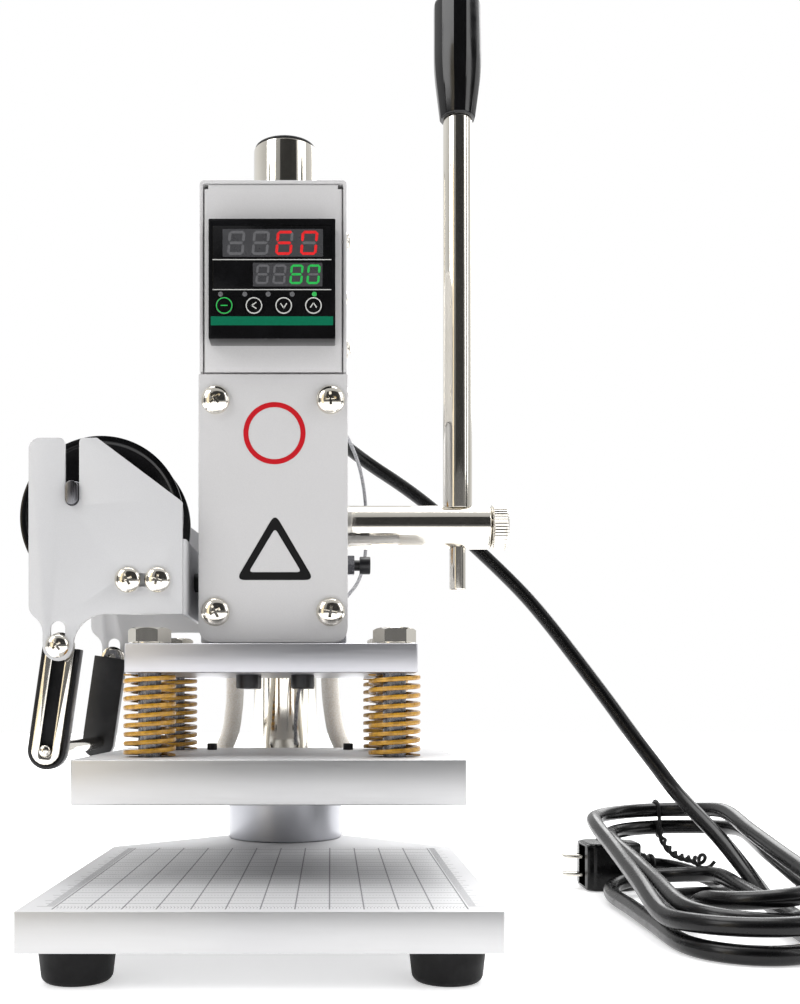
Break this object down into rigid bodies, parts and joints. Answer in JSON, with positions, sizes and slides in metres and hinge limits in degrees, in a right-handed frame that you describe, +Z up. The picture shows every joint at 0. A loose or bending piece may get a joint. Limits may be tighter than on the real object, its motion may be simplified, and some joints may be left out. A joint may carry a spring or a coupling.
{
  "type": "hot foil stamper",
  "caption": "Bench hot foil stamper: lever-driven ram lowers a sprung heating plate over a base, with a temperature controller, a foil roll holder and a mains cord.",
  "frame": {"origin": "bottom centre of the machine's own box (without the cord), on the table under the feet", "axes": "+Z up, the operator stands on the -Y side, +X towards the lever side"},
  "size_m": [0.3025, 0.2419, 0.3584],
  "materials": {
    "aluminium_base": "fine brushed, engraved grid",
    "aluminium_plate": "brushed, polished chamfers",
    "cast_head": "machined, satin lacquer",
    "chrome": "polished nickel plate",
    "steel": "turned and ground",
    "black_steel": "black oxide",
    "silver_paint": "satin powder coat",
    "white_paint": "satin powder coat",
    "spring_enamel": "gold enamel",
    "bush_bronze": "turned",
    "gloss_black": "polished moulding",
    "matte_black": "fine grain moulding",
    "display": "smoked window",
    "cord_black": "soft PVC sheath",
    "foot_rubber": "matt moulding",
    "white_sleeve": "braided glass sleeve"
  },
  "bodies": {
    "stand": {"base_plate": "aluminium_base", "foot_front_left": "foot_rubber", "foot_front_right": "foot_rubber", "foot_rear_left": "foot_rubber", "foot_rear_right": "foot_rubber", "column_collar": "aluminium_plate", "column_tube": "chrome", "column_cap": "matte_black", "cord_hank": "cord_black", "mains_plug": "cord_black"},
    "head": {"head_body": "cast_head", "front_cover": "silver_paint", "cover_screw_lower_left": "chrome", "cover_screw_lower_right": "chrome", "cover_screw_upper_left": "chrome", "cover_screw_upper_right": "chrome", "clamp_screw": "black_steel", "pinion_bush": "bush_bronze", "gib_screw": "black_steel", "controller_tray": "silver_paint", "controller_cover": "silver_paint", "controller_case": "matte_black", "controller_bezel": "gloss_black", "display_window": "display", "cable_gland": "matte_black", "foil_bracket": "white_paint", "foil_panel_front": "white_paint", "foil_panel_rear": "white_paint", "power_cord": "cord_black"},
    "ram": {"ram_rack": "steel", "upper_plate": "aluminium_plate", "heater_lead_left": "white_sleeve", "heater_lead_right": "white_sleeve", "die_spring_front_left": "spring_enamel", "die_spring_front_right": "spring_enamel", "die_spring_rear_left": "spring_enamel", "die_spring_rear_right": "spring_enamel"},
    "platen": {"heating_plate": "aluminium_base", "guide_bolt_front_left": "chrome", "guide_bolt_front_right": "chrome", "guide_bolt_rear_left": "chrome", "guide_bolt_rear_right": "chrome", "cartridge_heater_left": "steel", "cartridge_heater_right": "steel"},
    "lever": {"pinion_shaft": "chrome", "lever_rod": "chrome", "lever_grip": "gloss_black", "lever_cap": "chrome"},
    "spindle": {"foil_spindle": "steel"},
    "spool": {"foil_spool": "gloss_black"},
    "foil_arms": {"arm_link_front": "chrome", "arm_link_rear": "chrome"},
    "foil_guide": {"arm_rail_front": "black_steel", "arm_rail_rear": "black_steel", "guide_rod": "chrome"},
    "key_set": {"key_set": "gloss_black"},
    "key_shift": {"key_shift": "gloss_black"},
    "key_down": {"key_down": "gloss_black"},
    "key_up": {"key_up": "gloss_black"}
  },
  "joints": [
    {"name": "head_height", "type": "slide", "parent": "stand", "child": "head", "axis": [0, 0, 1], "range_m": [0, 0.04]},
    {"name": "lever_pull", "type": "hinge", "parent": "head", "child": "lever", "pos_m": [0.00595, 0.013, 0.1518], "axis": [1, 0, 0], "range_deg": [0, 125]},
    {"name": "ram_stroke", "type": "slide", "parent": "head", "child": "ram", "axis": [0, 0, -1], "range_m": [0, 0.0247]},
    {"name": "platen_float", "type": "slide", "parent": "ram", "child": "platen", "axis": [0, 0, 1], "range_m": [0, 0.0045], "stiffness_N_per_m": 30000, "springref_m": -0.0015, "deforming": ["die_spring_front_left", "die_spring_front_right", "die_spring_rear_left", "die_spring_rear_right"]},
    {"name": "spindle_lift", "type": "slide", "parent": "head", "child": "spindle", "axis": [0, 0, 1], "range_m": [0, 0.022]},
    {"name": "spool_turn", "type": "hinge", "parent": "spindle", "child": "spool", "pos_m": [-0.06355, 0.024, 0.1556], "axis": [0, 1, 0], "continuous": true},
    {"name": "arm_swing", "type": "hinge", "parent": "head", "child": "foil_arms", "pos_m": [-0.06855, 0.0128, 0.1025], "axis": [0, 1, 0], "range_deg": [-4, 72]},
    {"name": "guide_slide", "type": "slide", "parent": "foil_arms", "child": "foil_guide", "axis": [0.1426, 0, 0.9898], "range_m": [0, 0.022]},
    {"name": "key_set_press", "type": "slide", "parent": "head", "child": "key_set", "axis": [0, 1, 0], "range_m": [0, 0.0006], "stiffness_N_per_m": 900, "springref_m": -0.0003},
    {"name": "key_shift_press", "type": "slide", "parent": "head", "child": "key_shift", "axis": [0, 1, 0], "range_m": [0, 0.0006], "stiffness_N_per_m": 900, "springref_m": -0.0003},
    {"name": "key_down_press", "type": "slide", "parent": "head", "child": "key_down", "axis": [0, 1, 0], "range_m": [0, 0.0006], "stiffness_N_per_m": 900, "springref_m": -0.0003},
    {"name": "key_up_press", "type": "slide", "parent": "head", "child": "key_up", "axis": [0, 1, 0], "range_m": [0, 0.0006], "stiffness_N_per_m": 900, "springref_m": -0.0003}
  ],
  "couplings": [
    {"joint": "ram_stroke", "follows": "lever_pull", "m_per_rad": 0.01125}
  ]
}
